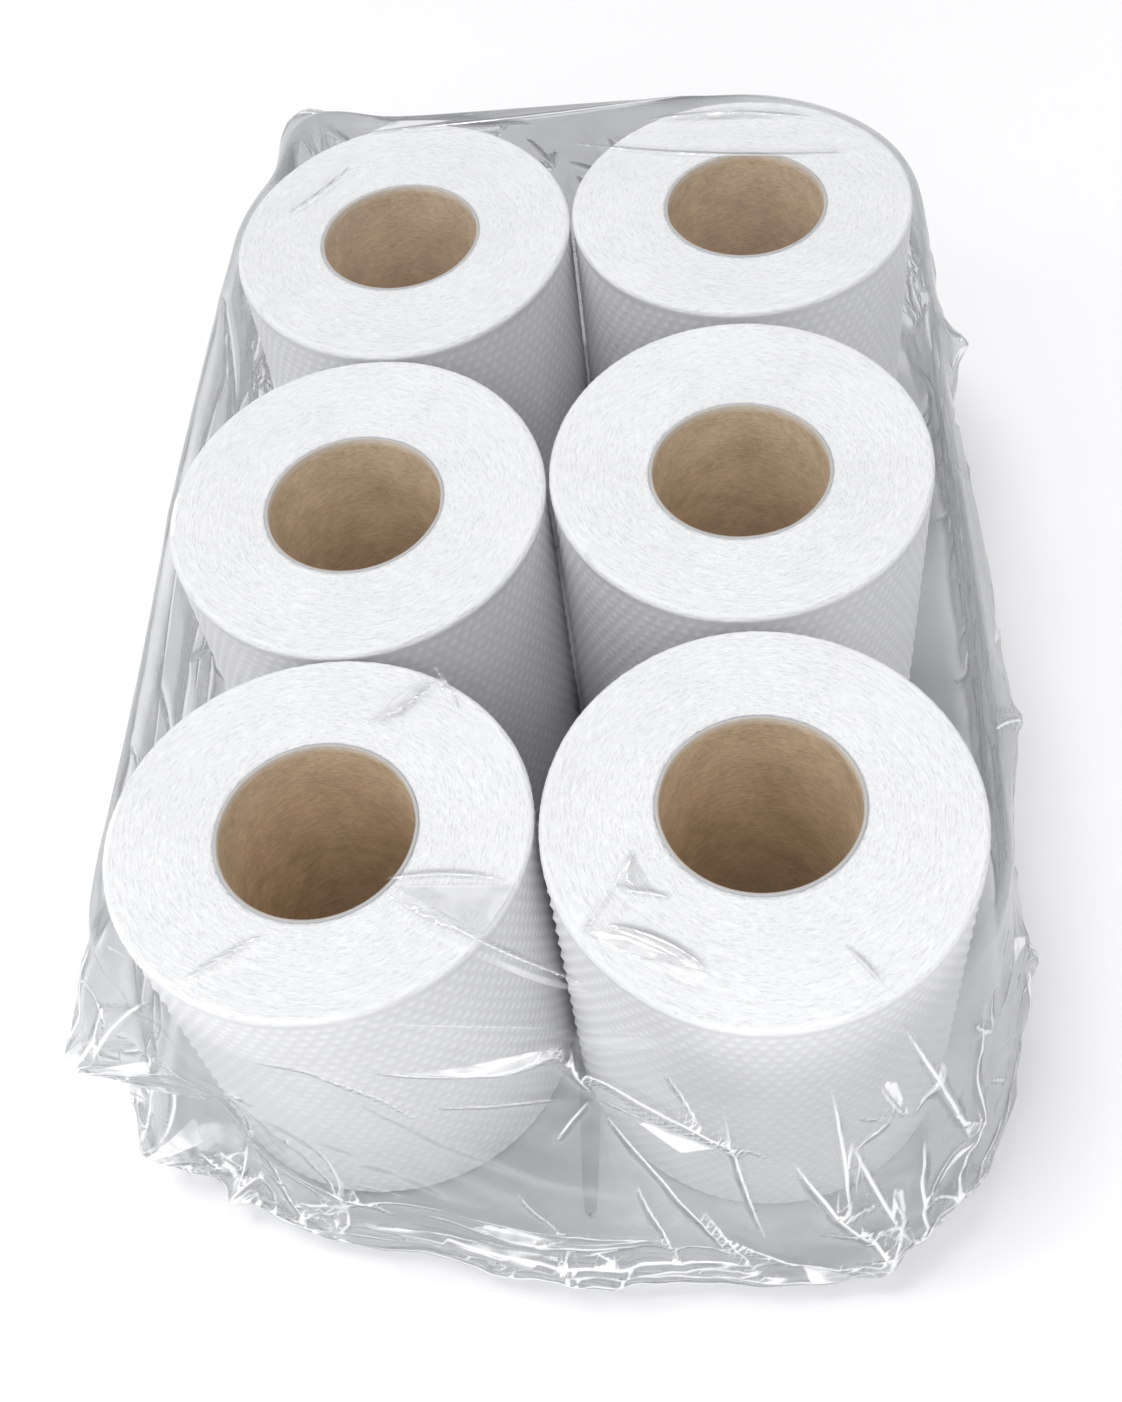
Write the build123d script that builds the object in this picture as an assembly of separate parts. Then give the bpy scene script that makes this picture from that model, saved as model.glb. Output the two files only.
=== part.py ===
from build123d import *
import os

# A pack of toilet tissue: six rolls on card cores, standing three deep and two across in one clear film wrap.
#
# Millimetres. +Z is up, +Y runs from the front of the pack to its back and +X to its right. The origin is
# on the floor, under the middle of the wrap's box. Every roll stands on one end. The rolls are soft, so
# each is a slightly flattened cylinder, and its core sits a little off the middle of its outline. The film
# lies on the rolls' top ends, leans out past their rims, is widest just above the floor and closes
# underneath them.

# Rolls
ROLL_HEIGHT = 102.0
ROLL_HALF_WIDTH = 48.2
ROLL_EDGE_ROUND = 1.2
CORE_BORE_RADIUS = 22.0
CORE_WALL = 0.9
CORE_GLUE_LINE = 0.05

# Where the rolls stand. A row's shift is where its two rolls meet, across the pack. A column's setback is
# how far its front roll stands behind the foremost one.
ROWS = ("front", "middle", "back")
COLUMNS = ("left", "right")
ROW_SHIFT = {"front": -2.5, "middle": -1.5, "back": 4.0}
COLUMN_SETBACK = {"left": 5.3, "right": 0.0}
GAP_ACROSS = 0.3
GAP_ALONG = {"left": 0.3, "right": 2.2}
ROLL_HALF_DEPTH = {
    "left": {"front": 46.5, "middle": 50.2, "back": 51.0},
    "right": {"front": 50.5, "middle": 50.5, "back": 47.0},
}
CORE_OFFSET = {
    "left": {"front": (-0.3, -0.3), "middle": (-0.4, -1.7), "back": (-0.6, -1.3)},
    "right": {"front": (0.0, 3.0), "middle": (0.0, -3.0), "back": (1.4, -1.2)},
}

# Film wrap. Four outlines shape it: at the floor, where it is widest, at the shoulder where it starts to
# lean in over the rims, and at the top. Each stands off the rolls by its own amount.
FILM = 0.3
WIDEST_RISE = 10.3
SHOULDER_DROP = 7.2
CORNER_RELIEF = 1.0
STAND_OFF = {
    "floor": {"side": 10.0, "front": 17.0, "back": 9.0},
    "widest": {"side": 14.0, "front": 20.0, "back": 12.0},
    "shoulder": {"side": 3.5, "front": 3.5, "back": 8.0},
    "top": {"side": 1.5, "front": 1.5, "back": 5.0},
}
SAME_POINT = 1e-6


class Roll:
    """Where one roll stands and how big its outline is, across (x) and along (y) the pack."""

    def __init__(self, row, column, x, y):
        self.name = f"{row}_{column}"
        self.x, self.y = x, y
        self.half_width, self.half_depth = ROLL_HALF_WIDTH, ROLL_HALF_DEPTH[column][row]
        self.core_x = x + CORE_OFFSET[column][row][0]
        self.core_y = y + CORE_OFFSET[column][row][1]


def stand_rolls():
    """Both columns, each set out from the front of the pack to its back."""
    rolls = {}
    for column in COLUMNS:
        side = -1 if column == "left" else 1
        front = COLUMN_SETBACK[column]
        for row in ROWS:
            half_depth = ROLL_HALF_DEPTH[column][row]
            x = ROW_SHIFT[row] + side * (ROLL_HALF_WIDTH + GAP_ACROSS / 2)
            rolls[row, column] = Roll(row, column, x, front + half_depth)
            front += 2 * half_depth + GAP_ALONG[column]
    return rolls


def film_outline(rolls, level, z, wall):
    """The wrap's outline at one level. A wall above zero gives the inner outline, that much further in."""
    side, front, back = (STAND_OFF[level][way] - wall for way in ("side", "front", "back"))
    low = min(r.y - r.half_depth for r in rolls.values()) - front
    high = max(r.y + r.half_depth for r in rolls.values()) + back
    left = [(r.x - r.half_width - side, r.y) for r in (rolls[row, "left"] for row in ROWS)]
    right = [(r.x + r.half_width + side, r.y) for r in (rolls[row, "right"] for row in ROWS)]
    # A stretched film runs straight past a middle roll that stands further in than its neighbours.
    left[1] = (min(left[1][0], (left[0][0] + left[2][0]) / 2), left[1][1])
    right[1] = (max(right[1][0], (right[0][0] + right[2][0]) / 2), right[1][1])
    corners = [(left[0][0], low), (right[0][0], low), (right[2][0], high), (left[2][0], high)]
    points = [corners[0], corners[1], *right, corners[2], corners[3], *reversed(left)]
    face = make_face(Polyline(*points, close=True).edges())
    turned = [
        v for v in face.vertices()
        if any(abs(v.X - x) + abs(v.Y - y) < SAME_POINT for x, y in corners)
    ]
    smallest_roll = min(min(r.half_width, r.half_depth) for r in rolls.values())
    return Pos(0, 0, z) * fillet(turned, smallest_roll + min(side, front, back) - CORNER_RELIEF)


def film_shell(rolls, wall):
    """The solid inside one skin of the wrap: its outer skin, or its inner one where wall is above zero."""
    top = ROLL_HEIGHT + 2 * FILM
    heights = {"floor": wall, "widest": WIDEST_RISE, "shoulder": top - SHOULDER_DROP, "top": top - wall}
    return loft([film_outline(rolls, level, z, wall) for level, z in heights.items()], ruled=True)


def film_wrap(rolls):
    """One closed film all round the six rolls."""
    return film_shell(rolls, 0) - film_shell(rolls, FILM)


def tissue_winding(roll):
    """All the turns of one roll: a flattened cylinder with soft edges, bored for its core."""
    solid = extrude(Pos(roll.x, roll.y, FILM) * Ellipse(roll.half_width, roll.half_depth), ROLL_HEIGHT)
    rims = solid.edges().group_by(Axis.Z)
    solid = fillet(rims[0] + rims[-1], ROLL_EDGE_ROUND)
    bore = Circle(CORE_BORE_RADIUS + CORE_WALL + CORE_GLUE_LINE)
    return solid - extrude(Pos(roll.core_x, roll.core_y, FILM) * bore, ROLL_HEIGHT)


def card_core(roll):
    """The card tube that the tissue is wound on, as tall as the roll."""
    tube = Circle(CORE_BORE_RADIUS + CORE_WALL) - Circle(CORE_BORE_RADIUS)
    return extrude(Pos(roll.core_x, roll.core_y, FILM) * tube, ROLL_HEIGHT)


def main():
    """Build every piece, move the pack so that its origin is under its middle, and write one file a piece."""
    rolls = stand_rolls()
    wrap = film_wrap(rolls)
    middle = wrap.bounding_box().center()
    home = Pos(-middle.X, -middle.Y, 0)
    parts = {"film_wrap": wrap}
    for roll in rolls.values():
        parts[f"tissue_{roll.name}"] = tissue_winding(roll)
        parts[f"core_{roll.name}"] = card_core(roll)
    os.makedirs("parts", exist_ok=True)
    for name, shape in parts.items():
        export_step(home * shape, f"parts/{name}.step")


main()
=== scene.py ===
import math

import bpy
import numpy as np
from bpy.props import FloatProperty, FloatVectorProperty, IntProperty, PointerProperty
from mathutils import Matrix, Vector


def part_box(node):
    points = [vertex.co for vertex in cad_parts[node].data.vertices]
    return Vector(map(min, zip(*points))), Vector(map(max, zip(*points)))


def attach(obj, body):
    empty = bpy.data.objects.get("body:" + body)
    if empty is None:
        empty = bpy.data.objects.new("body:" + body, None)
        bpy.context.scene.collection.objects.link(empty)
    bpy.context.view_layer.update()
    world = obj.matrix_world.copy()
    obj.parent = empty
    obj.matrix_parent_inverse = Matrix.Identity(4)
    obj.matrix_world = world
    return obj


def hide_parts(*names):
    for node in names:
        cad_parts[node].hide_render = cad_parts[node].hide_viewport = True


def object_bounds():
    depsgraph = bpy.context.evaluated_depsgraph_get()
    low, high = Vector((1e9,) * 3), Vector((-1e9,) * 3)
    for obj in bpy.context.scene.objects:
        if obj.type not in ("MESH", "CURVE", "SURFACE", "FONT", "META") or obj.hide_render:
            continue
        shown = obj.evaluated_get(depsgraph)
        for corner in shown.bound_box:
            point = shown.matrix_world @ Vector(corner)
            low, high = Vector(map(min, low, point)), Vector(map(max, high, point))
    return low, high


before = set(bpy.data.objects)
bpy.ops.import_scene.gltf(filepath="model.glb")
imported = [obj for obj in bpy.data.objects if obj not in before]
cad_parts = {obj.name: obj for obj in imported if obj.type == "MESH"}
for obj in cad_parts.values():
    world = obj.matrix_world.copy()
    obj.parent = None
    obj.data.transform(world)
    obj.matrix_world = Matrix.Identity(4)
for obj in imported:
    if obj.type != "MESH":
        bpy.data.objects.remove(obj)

bl_info = {
    "name": "Toilet Paper Roll Pack",
    "version": (1, 0, 0),
    "blender": (4, 5, 0),
    "location": "View3D > Sidebar > Roll Pack",
    "description": "Builds a pack of toilet tissue rolls in a clear film wrap around its CAD frame",
    "category": "Object",
}

CAD_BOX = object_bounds()
MM = 0.001
TURN = 2 * math.pi
ROWS = ("front", "middle", "back")
COLUMNS = ("left", "right")
ROLL_NAMES = [f"{row}_{column}" for row in ROWS for column in COLUMNS]
TISSUE_SEED, CORE_SEED = 100, 200


class Roll:
    """Where one roll and its core stand, read from the frame, in metres."""

    def __init__(self, name):
        low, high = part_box(f"tissue_{name}")
        core_low, core_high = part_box(f"core_{name}")
        self.name = name
        self.middle = np.array([(low.x + high.x) / 2, (low.y + high.y) / 2])
        self.half = np.array([(high.x - low.x) / 2, (high.y - low.y) / 2])
        self.bottom, self.top = low.z, high.z
        self.core_middle = np.array([(core_low.x + core_high.x) / 2, (core_low.y + core_high.y) / 2])
        self.core_radius = (core_high.x - core_low.x) / 2


ROLLS = {name: Roll(name) for name in ROLL_NAMES}
ROLL_TOP = max(roll.top for roll in ROLLS.values())


# ---- settings

class TissueLook(bpy.types.PropertyGroup):
    """The wound tissue."""
    dot_pitch: FloatProperty(
        name="Dot pitch", description="Between embossed dots, round the roll", default=3.5 * MM,
        unit="LENGTH", precision=5)
    dot_height: FloatProperty(
        name="Dot height", description="How far each embossed dot stands out", default=0.65 * MM,
        unit="LENGTH", precision=5)
    rim_round: FloatProperty(
        name="Rim round", description="Radius of the roll's soft edges", default=1.7 * MM,
        unit="LENGTH", precision=5)
    end_relief: FloatProperty(
        name="End relief", description="How uneven the turns stand at the roll's ends", default=0.35 * MM,
        unit="LENGTH", precision=5)
    colour: FloatVectorProperty(
        name="Tissue colour", description="Colour of the tissue", default=(0.955, 0.955, 0.96),
        subtype="COLOR", min=0, max=1)


class CoreLook(bpy.types.PropertyGroup):
    """The card cores."""
    wall: FloatProperty(
        name="Card wall", description="Thickness of the core's card", default=0.9 * MM,
        unit="LENGTH", precision=5)
    seam_lead: FloatProperty(
        name="Seam lead", description="Height that the spiral seam climbs in one turn", default=62 * MM,
        unit="LENGTH", precision=5)
    seam_depth: FloatProperty(
        name="Seam depth", description="Depth of the spiral seam", default=0.16 * MM,
        unit="LENGTH", precision=5)
    light: FloatVectorProperty(
        name="Light card", description="Colour of the card's light fibres", default=(0.90, 0.73, 0.52),
        subtype="COLOR", min=0, max=1)
    dark: FloatVectorProperty(
        name="Dark card", description="Colour of the card's dark fibres", default=(0.54, 0.40, 0.25),
        subtype="COLOR", min=0, max=1)


class FilmLook(bpy.types.PropertyGroup):
    """The clear film wrap."""
    round_count: IntProperty(
        name="Steps round", description="Mesh steps round the wrap, an even number", default=760, min=80)
    coarse_cell: FloatProperty(
        name="Large facets", description="Size of the film's large facets", default=26 * MM,
        unit="LENGTH", precision=4)
    fine_cell: FloatProperty(
        name="Small facets", description="Size of the film's small facets", default=10 * MM,
        unit="LENGTH", precision=4)
    coarse_height: FloatProperty(
        name="Large facet height", description="How far the large facets stand out", default=2.4 * MM,
        unit="LENGTH", precision=5)
    fine_height: FloatProperty(
        name="Small facet height", description="How far the small facets stand out", default=0.9 * MM,
        unit="LENGTH", precision=5)
    seed: IntProperty(name="Seed", description="Start of the facets' random places", default=11)
    # How grey the film turns where it stands off the rolls: partly its own cloudiness, partly painted shade
    # for the shadowed floor and gaps inside the pack.
    haze_and_painted_shade: FloatProperty(
        name="Haze", description="How much less see-through the film is where it stands off the rolls",
        default=0.20, min=0, max=1, subtype="FACTOR")
    # The film's grey shows its cloudiness and painted shade, and where it is seen aslant.
    colour: FloatVectorProperty(
        name="Film colour", description="What the film shows where it isn't see-through",
        default=(0.38, 0.39, 0.41), subtype="COLOR", min=0, max=1)


class StageLook(bpy.types.PropertyGroup):
    """Floor, light and camera."""
    camera_place: FloatVectorProperty(
        name="Camera place", description="Where the camera stands", default=(0.0332, -0.2836, 0.4110),
        subtype="TRANSLATION", unit="LENGTH")
    camera_down: FloatProperty(
        name="Looks down", description="Angle below the horizon", default=math.radians(54.29),
        subtype="ANGLE")
    camera_turn: FloatProperty(
        name="Turned right", description="Heading, clockwise from +Y", default=math.radians(-8.12),
        subtype="ANGLE")
    camera_roll: FloatProperty(
        name="Rolled", description="Roll about the line of sight", default=math.radians(-9.44),
        subtype="ANGLE")
    lens: FloatProperty(
        name="Lens", description="Focal length in millimetres on a 36 mm sensor", default=43.04)
    floor_colour: FloatVectorProperty(
        name="Floor colour", description="Colour of the floor", default=(0.93, 0.93, 0.94),
        subtype="COLOR", min=0, max=1)


# ---- mesh helpers

def grid_faces(index, close_rows=False, close_columns=False):
    """Quads of a grid of vertex numbers: a number, its neighbour along the row and the two below them."""
    if close_rows:
        index = np.vstack([index, index[:1]])
    if close_columns:
        index = np.hstack([index, index[:, :1]])
    return np.stack([index[:-1, :-1], index[:-1, 1:], index[1:, 1:], index[1:, :-1]], -1).reshape(-1, 4)


def add_mesh(name, points, faces, material, attributes=None):
    """Puts points and faces into a new smooth mesh object that rides on the one body there is."""
    mesh = bpy.data.meshes.new(name)
    mesh.vertices.add(len(points))
    mesh.vertices.foreach_set("co", np.ascontiguousarray(points, np.float32).ravel())
    mesh.loops.add(faces.size)
    mesh.loops.foreach_set("vertex_index", np.ascontiguousarray(faces, np.int32).ravel())
    mesh.polygons.add(len(faces))
    mesh.polygons.foreach_set("loop_start", np.arange(0, faces.size, 4, dtype=np.int32))
    mesh.update(calc_edges=True)
    mesh.validate()
    mesh.polygons.foreach_set("use_smooth", np.ones(len(mesh.polygons), bool))
    for title, values in (attributes or {}).items():
        kind = "FLOAT_VECTOR" if values.ndim == 2 else "FLOAT"
        field = "vector" if values.ndim == 2 else "value"
        made = mesh.attributes.new(title, kind, "POINT")
        made.data.foreach_set(field, np.ascontiguousarray(values, np.float32).ravel())
    piece = link(name, mesh)
    mesh.materials.append(material)
    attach(piece, "root")
    return piece


def link(name, data):
    """A new object in the scene."""
    made = bpy.data.objects.new(name, data)
    bpy.context.scene.collection.objects.link(made)
    return made


def round_line(angle):
    """Points of the unit circle at the given angles."""
    return np.stack([np.cos(angle), np.sin(angle)], -1)


def ring_faces(rings):
    """Quads of a pile of closed rings, the last one joined to the first."""
    steps = len(rings[0])
    index = np.arange(len(rings) * steps).reshape(len(rings), steps)
    return grid_faces(index, close_rows=True, close_columns=True)


def wrapped_noise_place(angle, radius, travel):
    """Where a pattern is read on a closed ring: a circle of that radius, and travel along its axis."""
    return np.column_stack([radius * round_line(angle), np.full(len(angle), travel)])


def smooth_step(values):
    """0 below 0, 1 above 1, and 3t^2 - 2t^3 between them."""
    t = np.clip(values, 0, 1)
    return t * t * (3 - 2 * t)


def ripple(angle, rng, waves, strongest):
    """A closed random line: cosines of 1 to waves periods in the angle, each weaker than the one before,
    scaled to run from 0 to strongest."""
    total = sum(rng.normal() / k * np.cos(k * angle + rng.uniform(0, TURN)) for k in range(1, waves + 1))
    return strongest * (total - total.min()) / np.ptp(total)


# ---- materials

class Nodes:
    """A short way to add shader nodes and link them."""

    def __init__(self, name):
        self.material = bpy.data.materials.new(name)
        self.material.use_nodes = True
        self.tree = self.material.node_tree
        self.tree.nodes.clear()
        self.output = self.add("ShaderNodeOutputMaterial")

    def add(self, kind, settings=None, **inputs):
        """Adds a node. settings are its own properties. Inputs go by their names or as i0, i1 and so on by
        their numbers, and are values or other nodes' sockets."""
        node = self.tree.nodes.new(kind)
        for key, value in (settings or {}).items():
            setattr(node, key, value)
        for key, value in inputs.items():
            socket = node.inputs[int(key[1:])] if key[0] == "i" and key[1:].isdigit() else node.inputs[
                key.replace("_", " ")]
            if isinstance(value, bpy.types.NodeSocket):
                self.tree.links.new(value, socket)
            else:
                socket.default_value = value
        return node

    def ramp(self, factor, *stops):
        """A colour ramp through (place, grey or colour) stops."""
        node = self.add("ShaderNodeValToRGB", Fac=factor)
        band = node.color_ramp.elements
        while len(band) < len(stops):
            band.new(0.5)
        for element, (place, colour) in zip(band, stops):
            element.position = place
            element.color = (colour, colour, colour, 1) if isinstance(colour, float) else (*colour, 1)
        return node.outputs["Color"]

    def own(self, name, output="Fac"):
        """One of the piece's own vertex attributes."""
        return self.add("ShaderNodeAttribute", {"attribute_name": name}).outputs[output]

    def noise(self, place, scale, detail, roughness=0.5, distortion=0.0):
        """A noise from 0 to 1."""
        return self.add("ShaderNodeTexNoise", Vector=place, Scale=scale, Detail=detail, Roughness=roughness,
                        Distortion=distortion).outputs["Fac"]

    def maths(self, operation, *values):
        """The result of a Math node."""
        inputs = {f"i{number}": value for number, value in enumerate(values)}
        return self.add("ShaderNodeMath", {"operation": operation}, **inputs).outputs[0]

    def fade(self, value, start, stop, first, last):
        """first where the value is at start, last where it is at stop, straight between and level beyond."""
        return self.add("ShaderNodeMapRange", i0=value, i1=start, i2=stop, i3=first, i4=last).outputs[0]

    def mix(self, share, first, second, blend="MIX"):
        """Two colours mixed by a share."""
        return self.add("ShaderNodeMix", {"data_type": "RGBA", "blend_type": blend},
                        i0=share, i6=first, i7=second).outputs[2]

    def mix_values(self, share, first, second):
        """Two values mixed by a share."""
        return self.add("ShaderNodeMix", {"data_type": "FLOAT"}, i0=share, i2=first, i3=second).outputs[0]

    def bump(self, height, strength, distance):
        """A normal bent by a height."""
        made = self.add("ShaderNodeBump", Height=height, Strength=strength, Distance=distance)
        return made.outputs["Normal"]

    def finish(self, shader):
        """Puts the shader on the surface."""
        self.tree.links.new(shader, self.output.inputs["Surface"])
        return self.material


# White of the fold lines and flap patches: partly whitened film, partly painted highlight.
FOLD_WHITE_AND_HIGHLIGHT = (0.97, 0.975, 0.985, 1)
# Grey of the core's outside and cut edge: partly the pale cut card, partly painted shade for the gap between
# core and tissue.
CUT_EDGE_AND_GAP_SHADE = (0.52, 0.53, 0.55, 1)
UNSHADED = (1.0, 1.0, 1.0)
MOST_FILM_SHOWS = 0.92


def tissue_material(look):
    """Soft white tissue: fine fibres on the sides, with pale dots on a ground of painted shade between them,
    and close turns with torn dashes on the roll's ends, with painted shade in their low torn places."""
    n = Nodes("tissue")
    place = n.add("ShaderNodeTexCoord").outputs["Object"]
    side = n.own("side")
    fibres = n.noise(place, 900.0, 2.0, 0.65)
    clouds = n.noise(place, 45.0, 2.0)
    dashes = n.noise(n.own("turns", "Vector"), 1.0, 3.0, 0.6)
    torn = n.ramp(dashes, (0.34, 0.0), (0.58, 1.0))
    relief = n.mix_values(side, torn, fibres)
    tint = n.ramp(clouds, (0.3, tuple(0.965 * c for c in look.colour)), (0.7, tuple(look.colour)))
    # Painted shade: the low, torn places of the roll's ends are painted darker.
    pit_shade = n.ramp(dashes, (0.31, (0.84, 0.84, 0.85)), (0.42, UNSHADED))
    # Painted shade: the ground between the embossed dots is painted darker than the dots.
    dot_ground_shade = n.ramp(n.own("dot"), (0.10, (0.86, 0.86, 0.87)), (0.70, UNSHADED))
    colour = n.mix(1.0, tint, n.mix(side, pit_shade, dot_ground_shade), "MULTIPLY")
    cloth = n.add("ShaderNodeBsdfPrincipled", Base_Color=colour, Roughness=0.95,
                  Normal=n.bump(relief, 0.8, 0.22 * MM))
    cloth.inputs["Sheen Weight"].default_value = 0.15
    cloth.inputs["Specular IOR Level"].default_value = 0.2
    return n.finish(cloth.outputs["BSDF"])


def card_material(look):
    """Brown core card: short fibres in two tones, clouds, a darker spiral seam, and grey on the outside and
    the cut edge, partly the card's pale cut edge and partly painted shade for the narrow gap between core and
    tissue.
    """
    n = Nodes("core_card")
    fibres = n.noise(n.own("turns", "Vector"), 1.0, 5.0, 0.7, 0.6)
    clouds = n.noise(n.add("ShaderNodeTexCoord").outputs["Object"], 110.0, 3.0)
    both = n.mix_values(0.35, fibres, clouds)
    card = n.ramp(both, (0.32, tuple(look.dark)), (0.62, tuple(look.light)))
    seamed = n.mix(n.own("seam"), card, (*look.dark, 1))
    # Grey on the outside and cut edge: partly the pale cut card, partly painted shade for the gap between
    # core and tissue.
    edge_and_gap_shaded = n.mix(n.own("rim"), seamed, CUT_EDGE_AND_GAP_SHADE)
    paper = n.add("ShaderNodeBsdfPrincipled", Base_Color=edge_and_gap_shaded, Roughness=0.82,
                  Normal=n.bump(both, 0.6, 0.3 * MM))
    return n.finish(paper.outputs["BSDF"])


def film_material(look):
    """Clear glossy film. It is see-through face on and greyer aslant. It is greyer too where it stands off
    the rolls
    and where it lies folded underneath: painted shade for the shadowed floor and gaps inside the pack, and
    partly the film's own cloudiness. Its folds are thin white lines with a sharp ridge, partly whitened film
    and partly painted highlight, and its flaps, where it lies folded over on itself, are white in patches:
    painted highlights for light reflected off their flat faces."""
    n = Nodes("clear_film")
    sheet = n.own("sheet", "Vector")
    away = n.maths("ABSOLUTE", n.own("aside"))
    held = n.ramp(n.own("near"), (0.40, 0.0), (0.74, 1.0))
    # Painted highlight: the fold lines are white, partly whitened film and partly light caught by the
    # creases.
    line = n.maths("MULTIPLY", n.ramp(away, (0.16, 1.0), (0.46, 0.0)), held)
    # Painted highlight: the flaps are white in patches for light reflected off their flat faces, partly film
    # lying folded over.
    patchy = n.ramp(n.noise(sheet, 0.12, 1.0), (0.40, 0.45), (0.55, 0.90))
    flap_white_and_highlight = n.maths("MULTIPLY", n.fade(n.own("flap"), -0.1, 0.35, 0.0, 1.0), patchy)
    ridge = n.maths("MULTIPLY", n.fade(away, 0.0, 2.4, 1.0, 0.0), held)
    height = n.maths("MULTIPLY_ADD", n.noise(sheet, 0.045, 1.0), 1.1, ridge)
    normal = n.bump(height, 1.0, 1.0 * MM)
    facing = n.add("ShaderNodeLayerWeight", Blend=0.5, Normal=normal).outputs["Facing"]
    slant = n.ramp(facing, (0.20, 0.02), (0.44, 0.11), (0.58, 0.36), (0.80, 0.58), (1.0, 0.88))
    # Painted shade: the film is greyed for the shadowed floor and gaps inside the pack, partly the film's own
    # cloudiness.
    hazy_and_shaded = n.maths("MULTIPLY_ADD", n.own("haze_and_painted_shade"), look.haze_and_painted_shade, slant)
    white = n.maths("MAXIMUM", line, flap_white_and_highlight)
    share = n.maths("MINIMUM", n.maths("MULTIPLY_ADD", white, 0.75, hazy_and_shaded), MOST_FILM_SHOWS)
    tone = n.mix(white, (*look.colour, 1), FOLD_WHITE_AND_HIGHLIGHT)
    body = n.add("ShaderNodeBsdfPrincipled", Base_Color=tone, Roughness=0.07, Normal=normal)
    body.inputs["IOR"].default_value = 2.2
    body.inputs["Specular IOR Level"].default_value = 1.0
    clear = n.add("ShaderNodeBsdfTransparent", Color=(0.98, 0.982, 0.988, 1))
    mixed = n.add("ShaderNodeMixShader", i0=share, i1=clear.outputs[0], i2=body.outputs[0])
    return n.finish(mixed.outputs[0])


# ---- tissue rolls

# How the tissue is wound. Distances are in metres.
STEPS_PER_DOT = 4
RINGS_PER_DOT = 2
ROW_SHARE = 0.87
DOT_RADIUS = 1.0 * MM
END_RINGS = 32
RIM_RINGS = 6
UNDER_RINGS = 5
BORE_SHARES = (0.33, 0.67)
WINDING_SLACK = 0.45 * MM
CORE_GAP = 0.05 * MM
END_DROP = 0.05 * MM
END_GRAIN = 0.12 * MM
RIM_GRAIN = 0.14 * MM
DASH_RADIUS = 13.0
DASH_STRETCH = 1.5


def winding(roll, look, rng):
    """One roll's tissue as a closed ring surface over (profile, angle). The profile runs from the core out
    over the top end, round the rim, down the side, under the bottom and up the bore. The outline is the
    ellipse middle + half sizes times (cos, sin), less a random slack. On the side, dots stand out on a
    staggered lattice, each a bell of the distance to the nearest lattice point. The ends are uneven by
    random ripples of the radius and angle, and by a fine random grain."""
    dots_round = round(TURN * roll.half.mean() / look.dot_pitch)
    steps = dots_round * STEPS_PER_DOT
    angle = np.arange(steps) * TURN / steps
    rim = look.rim_round
    tall = roll.top - roll.bottom - 2 * rim
    row_pitch = look.dot_pitch * ROW_SHARE
    rows = round(tall / row_pitch)
    outer = roll.middle + roll.half * round_line(angle)
    slack = ripple(angle, rng, 7, WINDING_SLACK)
    inward = (roll.middle - outer) / np.linalg.norm(roll.middle - outer, axis=1, keepdims=True)
    outer = outer + inward * slack[:, None]
    end_line = outer + inward * rim
    bore = roll.core_middle + (roll.core_radius + CORE_GAP) * round_line(angle)
    radius = np.linalg.norm(outer - bore, axis=1).mean()
    band_places = np.linspace(0, TURN, 400)
    bands = ripple(band_places, rng, 40, 1.0)
    shallow = ripple(angle, rng, 9, 1.0)
    bend = np.linspace(0, 1, RIM_RINGS)[1:]
    profile = (
        ("top", np.linspace(0, 1, END_RINGS)),
        ("rim", bend),
        ("side", np.linspace(0, 1, rows * RINGS_PER_DOT + 1)[1:]),
        ("foot", bend),
        ("under", np.linspace(0, 1, UNDER_RINGS)[1:]),
        ("bore", BORE_SHARES),
    )
    rings, turns, sides, marks = [], [], [], []
    for part, share in [(part, share) for part, shares in profile for share in shares]:
        dots = np.zeros(steps)
        travel, is_side = 0.0, 0.0
        if part == "top":
            xy = end_line * share + bore * (1 - share)
            band = np.interp(share * TURN * 0.98, band_places, bands)
            dip = look.end_relief * (0.55 * band + 0.45 * shallow * math.sin(math.pi * share))
            z = roll.top - END_DROP - dip - rng.uniform(0, END_GRAIN, steps)
            travel = share * radius
        elif part in ("rim", "foot"):
            turn = share * math.pi / 2 if part == "rim" else (1 - share) * math.pi / 2
            rough = rng.uniform(0, RIM_GRAIN, steps)
            xy = outer + inward * (rim * (1 - math.sin(turn)) + rough * math.sin(turn))[:, None]
            lift = rim * (1 - math.cos(turn)) + rough * math.cos(turn)
            z = roll.top - END_DROP - lift if part == "rim" else roll.bottom + lift
            travel = radius + share * rim
            is_side = share**3 if part == "rim" else 1 - share
        elif part == "side":
            row = share * rows
            near = round(row)
            along = angle / TURN * dots_round - 0.5 * (near % 2)
            across = (along - np.round(along)) * look.dot_pitch
            down = (row - near) * row_pitch
            dots = np.exp(-(across**2 + down**2) / DOT_RADIUS**2)
            press = look.dot_height * (1 - dots * (1 - 0.35 * shallow))
            xy = outer + inward * press[:, None]
            z = np.full(steps, roll.top - rim - share * tall)
            travel, is_side = radius + rim + share * tall, 1.0
        elif part == "under":
            xy = end_line * (1 - share) + bore * share
            z = np.full(steps, roll.bottom)
            travel = radius * (1 - share)
        else:
            xy = bore
            z = np.full(steps, roll.bottom + share * (roll.top - roll.bottom))
        rings.append(np.column_stack([xy, z]))
        turns.append(wrapped_noise_place(angle, DASH_RADIUS, travel / MM * DASH_STRETCH))
        sides.append(np.full(steps, is_side))
        marks.append(dots)
    looks = {"turns": np.vstack(turns), "side": np.concatenate(sides), "dot": np.concatenate(marks)}
    return np.vstack(rings), ring_faces(rings)[:, ::-1], looks


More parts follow.
